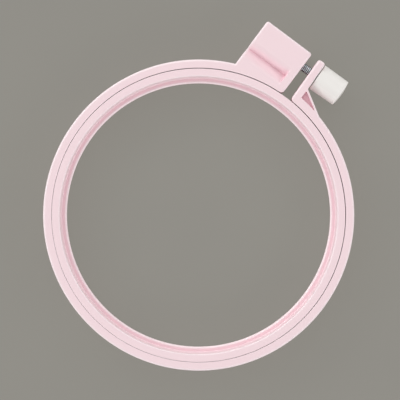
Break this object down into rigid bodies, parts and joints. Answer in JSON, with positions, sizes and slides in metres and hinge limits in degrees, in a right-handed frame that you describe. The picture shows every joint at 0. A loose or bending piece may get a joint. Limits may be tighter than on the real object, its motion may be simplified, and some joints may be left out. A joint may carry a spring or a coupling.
{
  "type": "embroidery hoop",
  "caption": "Round plastic embroidery hoop: an L-section inner ring held in a split outer ring that a knob screw closes through a nut block and an ear.",
  "frame": {"origin": "middle of the hoop's outline, on the surface that it lies on; the rings' common centre is 8.4 mm behind it along -Y", "axes": "+Z out of the hoop's front along the rings' axis, +Y from the rings' centre through the clamp's gap, +X towards the knob"},
  "size_m": [0.1272, 0.1442, 0.012],
  "materials": {
    "pink_plastic": "pale pink moulded plastic, soft satin gloss",
    "white_plastic": "warm white moulded plastic, satin",
    "plated_steel": "bright plated steel"
  },
  "bodies": {
    "outer_ring_nut_side": {"outer_ring_nut_half": "pink_plastic", "captive_nut": "plated_steel"},
    "outer_ring_ear_side": {"outer_ring_ear_half": "pink_plastic"},
    "screw_and_knob": {"clamp_screw": "plated_steel", "knob": "white_plastic"},
    "inner_ring": {"inner_ring": "pink_plastic"}
  },
  "joints": [
    {"name": "ring_flex", "type": "hinge", "parent": "outer_ring_nut_side", "child": "outer_ring_ear_side", "pos_m": [0, -0.0703, 0.006], "axis": [0, 0, -1], "range_deg": [-0.19, 1.73]},
    {"name": "knob_turn", "type": "hinge", "parent": "outer_ring_ear_side", "child": "screw_and_knob", "pos_m": [0.0013, 0.06617, 0.006], "axis": [-0.9996, -0.0279, 0], "range_deg": [-2124, 234]},
    {"name": "inner_ring_lift", "type": "slide", "parent": "outer_ring_nut_side", "child": "inner_ring", "axis": [0, 0, 1], "range_m": [0, 0.03]}
  ],
  "couplings": [
    {"joint": "knob_turn", "follows": "ring_flex", "ratio": -1225}
  ]
}
